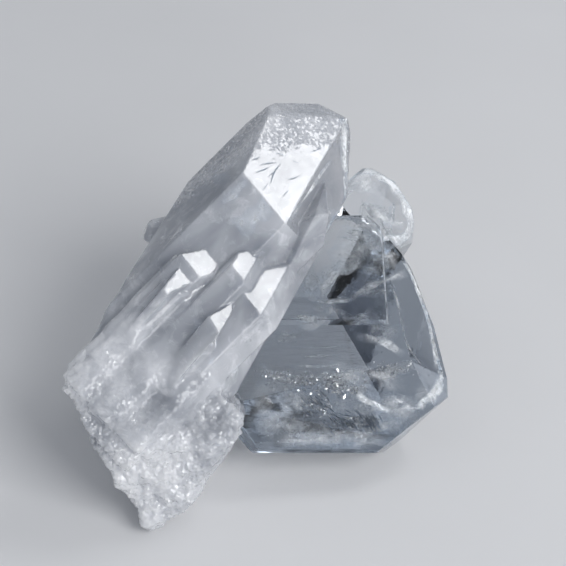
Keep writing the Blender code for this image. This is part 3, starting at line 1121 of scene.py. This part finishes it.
# Softboxes: name, direction from the cluster, distance, width and height in metres
SOFTBOXES = (
    ("key", (0.535, 0.393, 0.748), 0.5, 0.17, 0.115),
    ("fill", (0.60, -0.50, 0.62), 0.6, 0.35, 0.35),
    ("front", (0.25, -0.93, 0.27), 0.6, 0.30, 0.20),
)
# The floor's gap under the cluster in metres, its pattern per metre, its two shades and its roughness
FLOOR_GAP = 0.00004
FLOOR_PATTERN = 40.0
FLOOR_SHADES = (0.97, 1.03)
FLOOR_ROUGHNESS = 0.8
# What the camera can see, in metres, and how often light may bounce
NEAREST_SEEN = 0.005
FARTHEST_SEEN = 20.0
BOUNCES = 24


def softbox(name, direction, distance, width, height, strength):
    data = bpy.data.lights.new(name, "AREA")
    data.shape = "RECTANGLE"
    data.size = width
    data.size_y = height
    data.energy = strength
    lamp = new_object(name, data)
    aim = (CAMERA_TARGET - FOOT_CENTRE) * MM
    way = direction.normalized()
    lamp.location = aim + way * distance
    lamp.rotation_euler = (-way).to_track_quat("-Z", "Y").to_euler()


class QUARTZ_OT_studio(bpy.types.Operator):
    """Set the pale floor, the soft light and the camera"""

    bl_idname = "quartz.studio"
    bl_label = "Studio"

    def execute(self, context):
        scene = context.scene
        settings = scene.quartz_studio
        bpy.ops.object.select_all(action="DESELECT")
        bpy.ops.mesh.primitive_plane_add(size=settings.floor_size, location=(0, 0, -FLOOR_GAP))
        floor = context.active_object
        floor.name = "floor"
        n = Nodes("pale_floor")
        shades = [Vector(settings.floor) * share for share in FLOOR_SHADES]
        pattern = n.noise(FLOOR_PATTERN, rough=0.5)
        inputs = {"Base Color": n.blend(pattern, *shades), "Roughness": FLOOR_ROUGHNESS}
        wear_material(floor, n.finished(inputs))

        world = bpy.data.worlds.new("studio")
        world.use_nodes = True
        sky = world.node_tree.nodes["Background"]
        sky.inputs["Color"].default_value = (*settings.sky, 1)
        sky.inputs["Strength"].default_value = settings.sky_strength
        scene.world = world

        for name, way, distance, width, height in SOFTBOXES:
            softbox(name, Vector(way), distance, width, height, getattr(settings, name))

        data = bpy.data.cameras.new("camera")
        data.sensor_width = SENSOR_MM
        data.lens = FOCAL_PX / FRAME_PX * SENSOR_MM
        data.clip_start = NEAREST_SEEN
        data.clip_end = FARTHEST_SEEN
        camera = new_object("camera", data)
        camera.location = (CAMERA_TARGET + TO_CAMERA * CAMERA_DISTANCE - FOOT_CENTRE) * MM
        camera.rotation_euler = (-TO_CAMERA).to_track_quat("-Z", "Y").to_euler()
        scene.camera = camera
        scene.view_settings.view_transform = "Standard"
        scene.cycles.max_bounces = BOUNCES
        scene.cycles.transmission_bounces = BOUNCES
        return {"FINISHED"}


class QUARTZ_PT_cluster(bpy.types.Panel):
    """Settings and steps of the faden quartz cluster"""

    bl_idname = "QUARTZ_PT_cluster"
    bl_label = "Faden quartz cluster"
    bl_space_type = "VIEW_3D"
    bl_region_type = "UI"
    bl_category = "Quartz"

    def draw(self, context):
        for label, group, steps in PANEL_ROWS:
            box = self.layout.box()
            box.label(text=label)
            settings = getattr(context.scene, group)
            for name in settings.__annotations__:
                box.prop(settings, name)
            for step in steps:
                box.operator(f"quartz.{step}")


PANEL_ROWS = (
    ("Crystals", "quartz_crystals", ("milky_crystals", "clear_crystal")),
    ("Healed veils and cracks", "quartz_healing", ("healed_veils", "flecks", "scratches")),
    ("Studio", "quartz_studio", ("studio",)),
)
SETTINGS = {
    "quartz_crystals": QuartzCrystalSettings,
    "quartz_healing": QuartzHealingSettings,
    "quartz_studio": QuartzStudioSettings,
}
CLASSES = (
    *SETTINGS.values(),
    QUARTZ_OT_milky_crystals,
    QUARTZ_OT_clear_crystal,
    QUARTZ_OT_healed_veils,
    QUARTZ_OT_flecks,
    QUARTZ_OT_scratches,
    QUARTZ_OT_studio,
    QUARTZ_PT_cluster,
)


def register():
    for item in CLASSES:
        bpy.utils.register_class(item)
    for name, group in SETTINGS.items():
        setattr(bpy.types.Scene, name, bpy.props.PointerProperty(type=group))


def unregister():
    for name in SETTINGS:
        delattr(bpy.types.Scene, name)
    for item in reversed(CLASSES):
        bpy.utils.unregister_class(item)


def main():
    register()
    bpy.ops.quartz.milky_crystals()
    bpy.ops.quartz.clear_crystal()
    bpy.ops.quartz.healed_veils()
    bpy.ops.quartz.flecks()
    bpy.ops.quartz.scratches()
    bpy.ops.quartz.studio()


if __name__ == "__main__":
    main()
